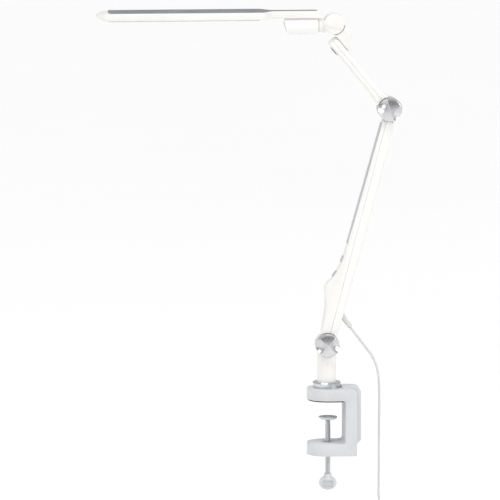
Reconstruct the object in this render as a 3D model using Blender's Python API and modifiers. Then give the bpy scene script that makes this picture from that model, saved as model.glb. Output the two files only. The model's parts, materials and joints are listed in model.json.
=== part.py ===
"""Swing arm desk lamp with a desk clamp.

The origin is the centre of the clamp's upper clamping face, so the desk's top is at z = 0.
The lamp stands in the plane y = 0: +X points away from the head, +Z up.
"""
from math import atan2, cos, pi, radians, sin, sqrt

import bmesh
import bpy
from mathutils import Matrix, Vector

MM = 0.001
GAP = 0.3 * MM  # between solids that touch
RUN = 0.35 * MM  # round a shaft that turns

# desk clamp
CLAMP_WIDTH = 60 * MM
JAW_TIP_X = -28.2 * MM
SPINE_IN_X = 24.8 * MM
SPINE_OUT_X = 41.2 * MM
DESK_GAP = 60.6 * MM
PAD_THICK = 1.7 * MM
UPPER_JAW = 16.1 * MM
LOWER_JAW = 17.1 * MM
BAND_PROUD = 6.6 * MM
BAND_WIDTH = 34 * MM
BAND_TOP = 1.6 * MM
BAND_END_Z = -61 * MM
CLAMP_EDGE = 2.2 * MM

# clamp screw
SCREW_X = 1.8 * MM
SCREW_RADIUS = 3.9 * MM
SCREW_FOOT_Z = -115.7 * MM
NUT_RADIUS = 8.5 * MM
NUT_PROUD = 2 * MM
DISC_RADIUS = 13.3 * MM
DISC_TOP_Z = -24.2 * MM
DISC_THICK = 3.6 * MM
THUMB_WIDE = 25.2 * MM
THUMB_HIGH = 20.2 * MM
THUMB_THICK = 8.6 * MM
THUMB_Z = -120 * MM

# collar and post
COLLAR_RADIUS = 20.2 * MM
COLLAR_HIGH = 9.3 * MM
POST_RADIUS = 13.4 * MM
SPIGOT_RADIUS = 7.5 * MM
BUSH_WALL = 2.2 * MM
BASE_Z = 80.1 * MM  # tilt axis of the lower arm

# arms
LOWER_LENGTH = 348 * MM
LOWER_LEAN = radians(14.7)
UPPER_LENGTH = 113.5 * MM
UPPER_LEAN = radians(-39.6)
ARM_HALF_DEEP = 11 * MM
ARM_WALL = 1.8 * MM
UPPER_HALF_THICK = 7.3 * MM
UPPER_END = 15.5 * MM  # past the swivel's axis
UPPER_FLARE = 3.2 * MM  # at the elbow
SWIVEL_BOSS = 1 * MM  # proud of the arm's underside
ARM_EDGE = 3.2 * MM

# the two knobs and their half-lap joints
LAP_RADIUS = 16.6 * MM
LAP_HALF = 12.4 * MM
WASHER = 0.8 * MM
KNOB_RADIUS = 17 * MM
KNOB_THICK = 11 * MM
KNOB_BAR = 11.8 * MM
SCOOP_RADIUS = 19.5 * MM
SCOOP_RISE = 12.3 * MM  # of the scoop's centre over the knob's face
BOLT_RADIUS = 3 * MM
BASE_KNOB_TURN = radians(-3)
ELBOW_KNOB_TURN = radians(28)

# wrist: the link stands on the upper arm's end and carries the head's neck
LINK_BASE = 6.4 * MM  # height of the link's foot over the arm's centre line
LINK_FOOT_RADIUS = 12.6 * MM
LINK_HALF_DEEP = 11.6 * MM
WRIST_RISE = 16.6 * MM
WRIST_REACH = 30.5 * MM
WRIST_RADIUS = 14.5 * MM
WRIST_GAP = 0.8 * MM
TONGUE_HALF = 5 * MM
TONGUE_RADIUS = 11.4 * MM
CHEEK_OUT = 10.2 * MM
CAP_THICK = 2.2 * MM
CREASE = 0.6 * MM  # depth of the line across each cap
CREASE_TILT = radians(14)
NECK_RADIUS = 9.9 * MM
NECK_DROP = 2.4 * MM
NECK_LENGTH = 21.5 * MM
BARREL_RADIUS = 12.8 * MM
BARREL_LENGTH = 48 * MM
BARREL_SHOULDER = 3 * MM

# head
HEAD_RIGHT = -21.2 * MM  # from the wrist's axis
HEAD_LENGTH = 315.6 * MM
HEAD_WIDTH = 64 * MM
HEAD_TOP = 21.6 * MM  # over the roll axis
HEAD_THICK = 10.5 * MM
HEAD_NECK_WIDTH = 24 * MM
HEAD_NECK_LENGTH = 65 * MM
HEAD_TAPER = 18 * MM
NOSE_LENGTH = 20 * MM
NOSE_DROP = 3.6 * MM
NOSE_RISE = 4.2 * MM
NOSE_RISE_FROM = 0.42  # share of the nose that is flat below
RIM = 3 * MM
PANEL_DEEP = 1.2 * MM
PANEL_NOSE = 6 * MM
LIGHT_LENGTH = 214 * MM
BEZEL_WIDTH = 2.6 * MM
BEZEL_PROUD = 0.9 * MM
LIGHT_DEEP = 7.4 * MM

# mains lead
CORD_RADIUS = 1.7 * MM
COIL_RADIUS = 19 * MM
COIL_ROWS = 3
COIL_COLUMNS = 4
TAIL_LENGTH = 14 * MM
CORD_ROUTE = [
    (34.0, 103.6),
    (41.0, 94.0),
    (48.5, 84.4),
    (56.0, 74.6),
    (62.8, 65.2),
    (68.4, 55.0),
    (72.4, 43.0),
    (74.6, 29.0),
    (75.4, 12.0),
    (75.5, -8.0),
    (75.4, -32.0),
    (75.2, -58.0),
    (75.0, -86.0),
    (75.0, -114.0),
    (75.0, -140.0),
    (75.0, -158.0),
]


def clear_scene():
    for obj in list(bpy.data.objects):
        bpy.data.objects.remove(obj, do_unlink=True)


def new_collection(name):
    made = bpy.data.collections.new(name)
    bpy.context.scene.collection.children.link(made)
    return made


clear_scene()
PARTS = new_collection("swing_arm_desk_lamp")
CUTTERS = new_collection("cutters")


def finish(name, colour, roughness, metallic=0.0):
    made = bpy.data.materials.new(name)
    made.use_nodes = True
    shader = made.node_tree.nodes["Principled BSDF"]
    shader.inputs["Base Color"].default_value = (*colour, 1)
    shader.inputs["Roughness"].default_value = roughness
    shader.inputs["Metallic"].default_value = metallic
    return made


WHITE = finish("white_lacquer", (0.72, 0.72, 0.70), 0.45)
CLAMP_GREY = finish("grey_lacquer", (0.42, 0.43, 0.45), 0.5)
CHROME = finish("chrome", (0.8, 0.8, 0.82), 0.06, 1.0)
SATIN = finish("satin_chrome", (0.62, 0.62, 0.63), 0.25, 1.0)
STEEL = finish("zinc_steel", (0.55, 0.56, 0.58), 0.35, 1.0)
BRASS = finish("brass", (0.75, 0.58, 0.28), 0.35, 1.0)
RUBBER = finish("black_rubber", (0.02, 0.02, 0.02), 0.85)
NYLON = finish("nylon", (0.8, 0.8, 0.76), 0.5)
CAST = finish("cast_aluminium", (0.5, 0.5, 0.52), 0.45, 1.0)
SLATE = finish("slate_aluminium", (0.30, 0.33, 0.38), 0.3, 0.8)
OPAL = finish("opal_acrylic", (0.9, 0.9, 0.88), 0.3)
CLEAR = finish("clear_acrylic", (0.85, 0.9, 0.92), 0.1)
BOARD = finish("circuit_board", (0.85, 0.85, 0.82), 0.6)
GREY_PLASTIC = finish("grey_plastic", (0.33, 0.35, 0.38), 0.5)
LEAD = finish("grey_lead", (0.55, 0.55, 0.55), 0.55)


def frame_at(name, location, lean=0.0, parent=None):
    """An empty that carries a body: its Y axis is the tilt axis."""
    made = bpy.data.objects.new(name, None)
    made.location = location
    made.rotation_euler = (0, lean, 0)
    made.parent = parent
    PARTS.objects.link(made)
    return made


def add(name, mesh, material, parent=None):
    """A named part from a mesh in its parent's frame."""
    mesh.name = name
    made = bpy.data.objects.new(name, mesh)
    made.parent = parent
    mesh.materials.clear()
    mesh.materials.append(material)
    mesh.shade_smooth()
    mesh.set_sharp_from_angle(angle=radians(35))
    PARTS.objects.link(made)
    return made


def tool(name, mesh, parent=None):
    """A cutter or an addition, which the build leaves out."""
    mesh.name = name
    made = bpy.data.objects.new(name, mesh)
    made.parent = parent
    made.hide_render = True
    made.display_type = "WIRE"
    CUTTERS.objects.link(made)
    return made


def combine(target, operation, *meshes):
    """Cut meshes from a part, or join them to it, in the part's own frame."""
    for number, mesh in enumerate(meshes):
        label = f"{target.name}_{operation.lower()}_{len(target.modifiers)}_{number}"
        boolean = target.modifiers.new(label, "BOOLEAN")
        boolean.operation = operation
        boolean.solver = "EXACT"
        boolean.object = tool(label, mesh, target.parent)
    return target


def cut(target, *meshes):
    return combine(target, "DIFFERENCE", *meshes)


def join(target, *meshes):
    return combine(target, "UNION", *meshes)


def round_edges(target, width, segments=2, angle=50):
    bevel = target.modifiers.new("round_edges", "BEVEL")
    bevel.width = width
    bevel.segments = segments
    bevel.limit_method = "ANGLE"
    bevel.angle_limit = radians(angle)
    bevel.use_clamp_overlap = True
    return target


def mesh_of(build):
    """A mesh that build fills through bmesh."""
    made = bpy.data.meshes.new("shape")
    work = bmesh.new()
    build(work)
    work.to_mesh(made)
    work.free()
    return made


def block(low, high):
    """A box from its lowest to its highest corner."""
    low, high = Vector(low), Vector(high)
    size = Matrix.Diagonal((*(high - low), 1))
    place = Matrix.Translation((low + high) / 2) @ size
    return mesh_of(lambda work: bmesh.ops.create_cube(work, size=1, matrix=place))


def rod(start, end, radius, far_radius=None, sides=32):
    """A cylinder or a cone between two points."""
    start, end = Vector(start), Vector(end)
    along = end - start
    turn = along.to_track_quat("Z", "Y").to_matrix().to_4x4()
    place = Matrix.Translation((start + end) / 2) @ turn

    def build(work):
        bmesh.ops.create_cone(
            work,
            cap_ends=True,
            segments=sides,
            radius1=radius,
            radius2=radius if far_radius is None else far_radius,
            depth=along.length,
            matrix=place,
        )

    return mesh_of(build)


def ball(centre, radius):
    place = Matrix.Translation(centre)
    return mesh_of(
        lambda work: bmesh.ops.create_uvsphere(
            work, u_segments=40, v_segments=20, radius=radius, matrix=place
        )
    )


def along_y(x, z, radius, low, high, sides=32):
    return rod((x, low, z), (x, high, z), radius, sides=sides)


def along_z(x, radius, low, high, sides=32):
    return rod((x, 0, low), (x, 0, high), radius, sides=sides)


def arc(centre, radius, start, end, steps):
    """Points of an arc, in degrees."""
    turns = (radians(start + (end - start) * k / steps) for k in range(steps + 1))
    return [(centre[0] + radius * cos(t), centre[1] + radius * sin(t)) for t in turns]


def rounded(corners, steps=4):
    """An outline whose corners (x, y, radius) are rounded."""
    points = []
    for k, (x, y, radius) in enumerate(corners):
        here = Vector((x, y))
        back = (Vector(corners[k - 1][:2]) - here).normalized()
        on = (Vector(corners[(k + 1) % len(corners)][:2]) - here).normalized()
        if radius == 0:
            points.append((x, y))
            continue
        half = back.angle(on) / 2
        reach = radius / max(0.05, abs(sin(half) / cos(half)))
        first, last = here + back * reach, here + on * reach
        middle = here + (back + on).normalized() * (radius / sin(half))
        one, two = first - middle, last - middle
        sweep = (atan2(two.y, two.x) - atan2(one.y, one.x) + pi) % (2 * pi) - pi
        for step in range(steps + 1):
            turn = Matrix.Rotation(sweep * step / steps, 2)
            points.append(tuple(middle + turn @ one))
    return points


PLANES = {
    "XY": Matrix.Identity(4),
    "XZ": Matrix.Rotation(radians(90), 4, "X"),
}


def prism(outline, low, high, plane="XZ"):
    """A flat outline in a plane, with its thickness from low to high across it."""
    curve = bpy.data.curves.new("outline", "CURVE")
    curve.dimensions = "2D"
    curve.fill_mode = "BOTH"
    curve.extrude = (high - low) / 2
    spline = curve.splines.new("POLY")
    spline.points.add(len(outline) - 1)
    for point, (x, y) in zip(spline.points, outline):
        point.co = (x, y, 0, 1)
    spline.use_cyclic_u = True
    mesh = welded(curve)
    middle = (low + high) / 2
    shift = (0, 0, middle) if plane == "XY" else (0, middle, 0)
    mesh.transform(Matrix.Translation(shift) @ PLANES[plane])
    return mesh


def welded(curve):
    """A curve's closed mesh, with its caps joined to its sides."""
    holder = bpy.data.objects.new("curve", curve)
    CUTTERS.objects.link(holder)
    graph = bpy.context.evaluated_depsgraph_get()
    mesh = bpy.data.meshes.new_from_object(holder.evaluated_get(graph))
    bpy.data.objects.remove(holder)
    bpy.data.curves.remove(curve)
    work = bmesh.new()
    work.from_mesh(mesh)
    bmesh.ops.remove_doubles(work, verts=work.verts, dist=1e-6)
    bmesh.ops.dissolve_limit(work, angle_limit=0.002, verts=work.verts, edges=work.edges)
    bmesh.ops.recalc_face_normals(work, faces=work.faces)
    work.to_mesh(mesh)
    work.free()
    return mesh


def turned(profile, sides=48):
    """A part turned about Z from (radius, z) points that run down its outer side."""
    mesh = bpy.data.meshes.new("profile")
    count = len(profile)
    closed = profile[0][0] > 0
    edges = [(k, k + 1) for k in range(count - 1)]
    if closed:
        edges.append((count - 1, 0))
    mesh.from_pydata([(r, 0, z) for r, z in profile], edges, [])
    holder = bpy.data.objects.new("turned", mesh)
    CUTTERS.objects.link(holder)
    screw = holder.modifiers.new("turn", "SCREW")
    screw.steps = sides
    screw.render_steps = sides
    screw.use_merge_vertices = True
    screw.merge_threshold = 1e-6
    graph = bpy.context.evaluated_depsgraph_get()
    made = bpy.data.meshes.new_from_object(holder.evaluated_get(graph))
    bpy.data.objects.remove(holder)
    return made


def moved(mesh, matrix):
    mesh.transform(matrix)
    return mesh


def facing_y(x, y, z, turn=0.0):
    """Takes a shape turned about Z to one about the Y axis, its top towards -Y."""
    return (
        Matrix.Translation((x, y, z))
        @ Matrix.Rotation(turn, 4, "Y")
        @ Matrix.Rotation(radians(90), 4, "X")
    )


# ---------------------------------------------------------------- clamp

JAW_LOW_Z = PAD_THICK
JAW_TOP_Z = PAD_THICK + UPPER_JAW
FLOOR_Z = -DESK_GAP
FOOT_Z = -DESK_GAP - LOWER_JAW
BORE = SPIGOT_RADIUS + RUN + BUSH_WALL + GAP


def clamp_body():
    outer = [
        (JAW_TIP_X, JAW_TOP_Z, 0),
        (JAW_TIP_X, JAW_LOW_Z, 0),
        (SPINE_IN_X, JAW_LOW_Z, 2 * MM),
        (SPINE_IN_X, FLOOR_Z, 4 * MM),
        (JAW_TIP_X, FLOOR_Z, 0),
        (JAW_TIP_X, FOOT_Z, 0),
        (SPINE_OUT_X, FOOT_Z, 1.5 * MM),
        (SPINE_OUT_X, JAW_TOP_Z, 6 * MM),
    ]
    half = CLAMP_WIDTH / 2
    body = add("clamp_body", prism(rounded(outer), -half, half), CLAMP_GREY)
    centre = JAW_TIP_X + half
    plan = arc((centre, 0), half, 90, 270, 28)
    plan += arc((SPINE_OUT_X - CLAMP_EDGE, CLAMP_EDGE - half), CLAMP_EDGE, -90, 0, 3)
    plan += arc((SPINE_OUT_X - CLAMP_EDGE, half - CLAMP_EDGE), CLAMP_EDGE, 0, 90, 3)
    combine(body, "INTERSECT", prism(plan, FOOT_Z - MM, JAW_TOP_Z + MM, "XY"))
    round_edges(body, CLAMP_EDGE, 2, 60)
    back = SPINE_OUT_X + BAND_PROUD
    top = JAW_TOP_Z + BAND_TOP
    band = [
        (SPINE_OUT_X - 6 * MM, BAND_END_Z, 0),
        (back - 5 * MM, BAND_END_Z, 0),
        (back, BAND_END_Z + 5 * MM, 0),
        (back, top, 7 * MM),
        (COLLAR_RADIUS + 1 * MM, top, 0),
        (COLLAR_RADIUS + 1 * MM, JAW_TOP_Z - 4 * MM, 0),
        (SPINE_OUT_X - 6 * MM, JAW_TOP_Z - 4 * MM, 0),
    ]
    join(body, prism(rounded(band), -BAND_WIDTH / 2, BAND_WIDTH / 2))
    cut(
        body,
        along_z(0, BORE, 4 * MM, JAW_TOP_Z + 5 * MM),
        along_z(SCREW_X, NUT_RADIUS + GAP, FOOT_Z - MM, FLOOR_Z + MM),
    )
    return body


def jaw_pad():
    reach = CLAMP_WIDTH / 2 - 1.3 * MM
    centre = JAW_TIP_X + CLAMP_WIDTH / 2
    outline = arc((centre, 0), reach, 90, 270, 24)
    outline += [(SPINE_IN_X - 3 * MM, -reach), (SPINE_IN_X - 3 * MM, reach)]
    add("jaw_pad", prism(outline, 0, PAD_THICK - GAP, "XY"), RUBBER)


def collar_ring():
    inner = POST_RADIUS + RUN
    low = JAW_TOP_Z + GAP
    top = JAW_TOP_Z + COLLAR_HIGH
    wall = COLLAR_RADIUS
    profile = [
        (inner, top - 0.6 * MM),
        (inner + 0.6 * MM, top),
        (wall - 2.6 * MM, top),
        (wall - 0.9 * MM, top - 0.5 * MM),
        (wall, top - 2 * MM),
        (wall - 0.5 * MM, top - 3.4 * MM),
        (wall - 0.5 * MM, low),
        (inner, low),
    ]
    add("collar_ring", turned(profile), CHROME)


def socket_bush():
    inner = SPIGOT_RADIUS + RUN
    outer = inner + BUSH_WALL
    low, top = 4.3 * MM, JAW_TOP_Z - GAP
    profile = [(inner, top), (outer, top), (outer, low), (inner, low)]
    add("socket_bush", turned(profile, 32), NYLON)


def screw_nut():
    inner = SCREW_RADIUS + RUN
    low, top = FOOT_Z - NUT_PROUD, FLOOR_Z - 0.5 * MM
    profile = [
        (inner, top),
        (NUT_RADIUS, top),
        (NUT_RADIUS, low + 0.8 * MM),
        (NUT_RADIUS - 0.8 * MM, low),
        (inner, low),
    ]
    mesh = moved(turned(profile, 32), Matrix.Translation((SCREW_X, 0, 0)))
    add("screw_nut", mesh, STEEL)


SCREW = frame_at("screw_frame", (SCREW_X, 0, 0))


def pressure_disc():
    top, low = DISC_TOP_Z, DISC_TOP_Z - DISC_THICK
    profile = [
        (0, top - 1.2 * MM),
        (5 * MM, top - 1.2 * MM),
        (5.4 * MM, top),
        (DISC_RADIUS - 0.4 * MM, top),
        (DISC_RADIUS, top - 0.5 * MM),
        (DISC_RADIUS, top - 1.7 * MM),
        (DISC_RADIUS - 2.6 * MM, low),
        (0, low),
    ]
    disc = add("pressure_disc", turned(profile), CLAMP_GREY, SCREW)
    cut(disc, along_z(0, 2.6 * MM, low - MM, top + MM, 24))
    head = top - 1.2 * MM + GAP
    rivet = [
        (0, head + 0.6 * MM),
        (4.2 * MM, head + 0.6 * MM),
        (4.4 * MM, head),
        (2.3 * MM, head),
        (2.3 * MM, low - 0.2 * MM),
        (0, low - 0.2 * MM),
    ]
    add("disc_rivet", turned(rivet, 24), STEEL, SCREW)


def clamp_screw():
    top = DISC_TOP_Z - DISC_THICK - 2 * GAP
    profile = [
        (0, top),
        (SCREW_RADIUS - 0.8 * MM, top),
        (SCREW_RADIUS, top - 0.8 * MM),
        (SCREW_RADIUS, SCREW_FOOT_Z + 0.6 * MM),
        (SCREW_RADIUS - 0.6 * MM, SCREW_FOOT_Z),
        (0, SCREW_FOOT_Z),
    ]
    add("clamp_screw", turned(profile, 24), STEEL, SCREW)
    half = THUMB_THICK / 2
    wide, high = THUMB_WIDE / 2, THUMB_HIGH / 2
    turns = [2 * pi * k / 40 for k in range(40)]
    outline = [(wide * cos(t), THUMB_Z + high * sin(t)) for t in turns]
    knob = add("thumb_knob", prism(outline, -half, half), CLAMP_GREY, SCREW)
    round_edges(knob, 1.8 * MM, 2)
    neck_top = THUMB_Z + high + 3.5 * MM
    neck = rod((0, 0, THUMB_Z + 4 * MM), (0, 0, neck_top), 6 * MM, 5.2 * MM, 24)
    join(knob, neck)
    cut(knob, along_z(0, SCREW_RADIUS + GAP, SCREW_FOOT_Z - GAP, neck_top + MM, 24))
    for side in (-1, 1):
        dish = moved(
            block((-6.8 * MM, 0, -4.6 * MM), (6.8 * MM, 2 * MM, 4.6 * MM)),
            Matrix.Translation((0, side * half - MM, THUMB_Z - 1.2 * MM)),
        )
        cut(knob, dish)


# ---------------------------------------------------------------- post and its joint

POST = frame_at("post_frame", (0, 0, BASE_Z))
LAP_IN = WASHER / 2 + GAP


def lap_cut(x, z, side):
    """Room for the other half of a half-lap joint: side -1 is the near half."""
    low, high = sorted((side * 40 * MM, -side * LAP_IN))
    return along_y(x, z, LAP_RADIUS + 0.9 * MM, low, high, 48)


def post_column():
    low = JAW_TOP_Z + 2 * GAP - BASE_Z
    top = -12 * MM
    shoulder = -LAP_RADIUS - 1.1 * MM
    profile = [
        (0, top),
        (POST_RADIUS, top),
        (POST_RADIUS, low + 0.6 * MM),
        (POST_RADIUS - 0.6 * MM, low),
        (0, low),
    ]
    post = add("post_column", turned(profile), WHITE, POST)
    cut(
        post,
        lap_cut(0, 0, -1),
        block((-30 * MM, LAP_HALF, shoulder), (30 * MM, 30 * MM, 0)),
    )
    join(post, along_y(0, 0, LAP_RADIUS, LAP_IN, LAP_HALF, 48))
    cut(
        post,
        along_y(0, 0, BOLT_RADIUS + RUN, 0, LAP_HALF + MM, 24),
        along_y(0, 0, 6.2 * MM, LAP_HALF - 4.2 * MM, LAP_HALF + MM, 6),
        rod((0, 0, low - MM), (0, 0, low + 26 * MM), SPIGOT_RADIUS + GAP, sides=32),
    )


def post_spigot():
    low = 5 * MM - BASE_Z
    top = JAW_TOP_Z + 25 * MM - BASE_Z
    profile = [
        (0, top),
        (SPIGOT_RADIUS - 0.7 * MM, top),
        (SPIGOT_RADIUS, top - 0.7 * MM),
        (SPIGOT_RADIUS, low + 3.2 * MM),
        (SPIGOT_RADIUS - 0.8 * MM, low + 3.2 * MM),
        (SPIGOT_RADIUS - 0.8 * MM, low + 2 * MM),
        (SPIGOT_RADIUS, low + 2 * MM),
        (SPIGOT_RADIUS, low + 0.6 * MM),
        (SPIGOT_RADIUS - 0.6 * MM, low),
        (0, low),
    ]
    add("post_spigot", turned(profile, 32), STEEL, POST)


def friction_knob(name, parent, turn):
    """A round knob with a raised grip bar, in front of a half-lap joint."""
    back = -LAP_HALF - 2 * GAP
    front = back - KNOB_THICK
    profile = [
        (0, KNOB_THICK),
        (KNOB_RADIUS - 3 * MM, KNOB_THICK),
        (KNOB_RADIUS - 1.4 * MM, KNOB_THICK - 0.6 * MM),
        (KNOB_RADIUS - 0.2 * MM, KNOB_THICK - 2.4 * MM),
        (KNOB_RADIUS, KNOB_THICK - 4 * MM),
        (KNOB_RADIUS - 0.4 * MM, 0.6 * MM),
        (KNOB_RADIUS - 1 * MM, 0),
        (0, 0),
    ]
    place = facing_y(0, back, 0, turn)
    knob = add(name, moved(turned(profile), place), SATIN, parent)
    reach = KNOB_BAR / 2 + sqrt(SCOOP_RADIUS**2 - SCOOP_RISE**2)
    for side in (-1, 1):
        centre = Vector((side * reach, 0, KNOB_THICK + SCOOP_RISE))
        cut(knob, moved(ball(centre, SCOOP_RADIUS), place))
    cut(knob, along_y(0, 0, 5.2 * MM, front + 3.6 * MM, back + MM, 24))
    inner = BOLT_RADIUS + RUN
    sleeve = [(inner, 7 * MM), (4.9 * MM, 7 * MM), (4.9 * MM, 0.2 * MM), (inner, 0.2 * MM)]
    add(f"{name}_insert", moved(turned(sleeve, 24), place), BRASS, parent)
    return knob


def joint_bolt(name, parent):
    """A hexagon bolt from the far side, its head sunk in the far half."""
    front = -LAP_HALF - 6.5 * MM
    head = LAP_HALF - 4 * MM
    bolt = add(name, along_y(0, 0, BOLT_RADIUS, front, head + 2 * MM, 24), STEEL, parent)
    join(bolt, along_y(0, 0, 5.8 * MM, head + GAP, head + 3.4 * MM, 6))


def back_cap(name, parent):
    profile = [
        (0, 2 * MM),
        (LAP_RADIUS - 3 * MM, 2 * MM),
        (LAP_RADIUS - 1.2 * MM, 1.2 * MM),
        (LAP_RADIUS - 0.6 * MM, GAP),
        (0, GAP),
    ]
    turn = Matrix.Rotation(radians(-90), 4, "X")
    mesh = moved(turned(profile, 40), Matrix.Translation((0, LAP_HALF, 0)) @ turn)
    add(name, mesh, WHITE, parent)


def friction_washer(name, parent):
    half = WASHER / 2
    inner = BOLT_RADIUS + RUN
    ring = [(inner, half), (13 * MM, half), (13 * MM, -half), (inner, -half)]
    add(name, moved(turned(ring, 32), facing_y(0, 0, 0)), NYLON, parent)


# ---------------------------------------------------------------- lower arm

LOWER = frame_at("lower_arm_frame", (0, 0, BASE_Z), LOWER_LEAN)

# the arm's front edge, from the elbow down to the base: (offset from the pivots' line, height)
FRONT = [
    (-5.4, 331.0),
    (-7.9, 181.0),
    (-8.9, 160.0),
    (-8.7, 142.0),
    (-9.2, 130.0),
    (-10.6, 117.0),
    (-13.2, 105.5),
    (-17.0, 94.5),
    (-21.8, 86.0),
    (-24.0, 82.5),
    (-23.6, 78.5),
    (-15.8, 50.0),
    (-12.0, 10.0),
]
BACK = [(10.8, 10.0), (11.4, 50.0), (13.9, 187.0), (12.2, 331.0)]
BUTTONS = (("power_button", 123.5, -9.9, 6.1), ("dimmer_button", 100.3, -15.0, 19.0))
RELIEF_FOOT = (20.4, 123.0)
RELIEF_END = (33.6, 104.1)


def arm_outline(inset, stretch):
    """The lower arm's side outline, its walls moved in and its ends out."""
    front = [((x + inset), z) for x, z in FRONT]
    back = [((x - inset), z) for x, z in BACK]
    outline = front + back
    ends = {min(z for _, z in outline): -stretch, max(z for _, z in outline): stretch}
    return [(x * MM, (z + ends.get(z, 0)) * MM) for x, z in outline]


def arm_shell(name, side, length):
    """Half of the lower arm's casing: side -1 is the front half."""
    wall = ARM_WALL / MM
    deep = ARM_HALF_DEEP
    shell = add(name, prism(arm_outline(0, 0), -deep, deep), WHITE, LOWER)
    round_edges(shell, ARM_EDGE, 3, 60)
    other = (
        block((-GAP / 2, -1, -1), (1, 1, 1))
        if side < 0
        else block((-1, -1, -1), (GAP / 2, 1, 1))
    )
    inside = deep - ARM_WALL
    cut(
        shell,
        other,
        prism(arm_outline(wall, 4), -inside, inside),
        along_y(0, 0, LAP_RADIUS + 0.9 * MM, -40 * MM, 40 * MM, 48),
        along_y(0, length, LAP_RADIUS + 0.9 * MM, -40 * MM, 40 * MM, 48),
    )
    return shell


def button_place(x, z, tilt):
    """The frame of a button: its local +X presses it in."""
    turn = Matrix.Rotation(radians(tilt), 4, "Y")
    return Matrix.Translation((x * MM, 0, z * MM)) @ turn


def button_outline(grow):
    half, high = (5.6 * MM + grow), (4.6 * MM + grow)
    return block((-1.3 * MM, -half, -high), (3.4 * MM, half, high))


def lower_arm():
    front = arm_shell("lower_front_shell", -1, LOWER_LENGTH)
    rear = arm_shell("lower_rear_shell", 1, LOWER_LENGTH)
    for name, z, x, tilt in BUTTONS:
        place = button_place(x, z, tilt)
        cut(front, moved(button_outline(GAP), place))
        on_face = frame_at(f"{name}_frame", (x * MM, 0, z * MM), radians(tilt), LOWER)
        button = add(name, button_outline(0), GREY_PLASTIC, on_face)
        round_edges(button, 0.5 * MM, 1)
    foot = Vector((RELIEF_FOOT[0] * MM, 0, RELIEF_FOOT[1] * MM - BASE_Z))
    end = Vector((RELIEF_END[0] * MM, 0, RELIEF_END[1] * MM - BASE_Z))
    to_arm = Matrix.Rotation(-LOWER_LEAN, 3, "Y")
    foot, end = to_arm @ foot, to_arm @ end
    along = (end - foot).normalized()
    hole = rod(foot - along * 4 * MM, end, 4.4 * MM + GAP, sides=24)
    cut(rear, hole)
    add("strain_relief", rod(foot, end, 4.3 * MM, 3 * MM, 24), LEAD, LOWER)

    bar_low, bar_high = -8.6 * MM, -LAP_IN
    core = add(
        "lower_arm_core",
        block((-3 * MM, bar_low, 0), (5 * MM, bar_high, LOWER_LENGTH)),
        CAST,
        LOWER,
    )
    for z in (0, LOWER_LENGTH):
        join(core, along_y(0, z, LAP_RADIUS, -LAP_HALF, -LAP_IN, 48))
    for z in (0, LOWER_LENGTH):
        cut(core, along_y(0, z, BOLT_RADIUS + RUN, -LAP_HALF - MM, 0, 24))

    strip_bottom, strip_top = 142 * MM, 326 * MM
    slope = atan2((7.9 - 5.4), (331 - 181))
    place = Matrix.Translation((-7.9 * MM, 0, 181 * MM)) @ Matrix.Rotation(slope, 4, "Y")
    low, high = strip_bottom - 181 * MM + 5 * MM, strip_top - 181 * MM
    pocket = block((-3 * MM, -8.6 * MM, low), (0.9 * MM, 8.6 * MM, high))
    cut(front, moved(pocket, place))
    inlay = block((-0.7 * MM, -8.3 * MM, low + GAP), (0.6 * MM, 8.3 * MM, high - GAP))
    add("control_strip", moved(inlay, place), GREY_PLASTIC, LOWER)

    board = block((-4.6 * MM, 0.6 * MM, 88 * MM), (8 * MM, 2.2 * MM, 136 * MM))
    add("circuit_board", board, BOARD, LOWER)
    wire = rod((5 * MM, 5 * MM, 60 * MM), (5 * MM, 5 * MM, 322 * MM), 1.3 * MM, sides=8)
    add("lower_wire", wire, LEAD, LOWER)


# ---------------------------------------------------------------- upper arm

ELBOW_AT = (
    LOWER_LENGTH * sin(LOWER_LEAN),
    0,
    BASE_Z + LOWER_LENGTH * cos(LOWER_LEAN),
)
UPPER = frame_at("upper_arm_frame", ELBOW_AT, UPPER_LEAN)


def upper_plan(inset, stretch):
    """The upper arm seen from above it, as (height along the arm, depth)."""
    half = ARM_HALF_DEEP + 1 * MM - inset
    end = UPPER_LENGTH + UPPER_END - inset
    low = 8 * MM - stretch
    return [(low, -half), *arc((end - half, 0), half, -90, 90, 14), (low, half)]


def upper_side():
    """The upper arm's side outline, which flares where it meets the elbow."""
    low, half = 12 * MM, UPPER_HALF_THICK
    right = [
        (half + UPPER_FLARE, low),
        (half + UPPER_FLARE * 0.4, low + 11 * MM),
        (half, low + 24 * MM),
        (half, UPPER_LENGTH + UPPER_END + MM),
    ]
    return right + [(-x, z) for x, z in reversed(right)]


def upper_block(inset, stretch, half):
    """The upper arm's rounded bar, its thickness across local X."""
    mesh = prism(upper_plan(inset, stretch), -half, half, "XY")
    return moved(mesh, Matrix.Rotation(radians(-90), 4, "Y"))


def upper_cover(name, side):
    deep = ARM_HALF_DEEP + 3 * MM
    cover = add(name, prism(upper_side(), -deep, deep), WHITE, UPPER)
    combine(cover, "INTERSECT", upper_block(0, 0, 30 * MM))
    round_edges(cover, ARM_EDGE, 3, 60)
    other = (
        block((-GAP / 2, -1, -1), (1, 1, 1))
        if side < 0
        else block((-1, -1, -1), (GAP / 2, 1, 1))
    )
    cut(
        cover,
        other,
        upper_block(ARM_WALL, 6 * MM, UPPER_HALF_THICK - ARM_WALL),
        along_y(0, 0, LAP_RADIUS + 0.9 * MM, -40 * MM, 40 * MM, 48),
    )
    reach = 20 * MM
    start, end = sorted((0, side * reach))
    bore = 8.4 * MM
    cut(cover, rod((start, 0, UPPER_LENGTH), (end, 0, UPPER_LENGTH), bore, sides=32))


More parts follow.
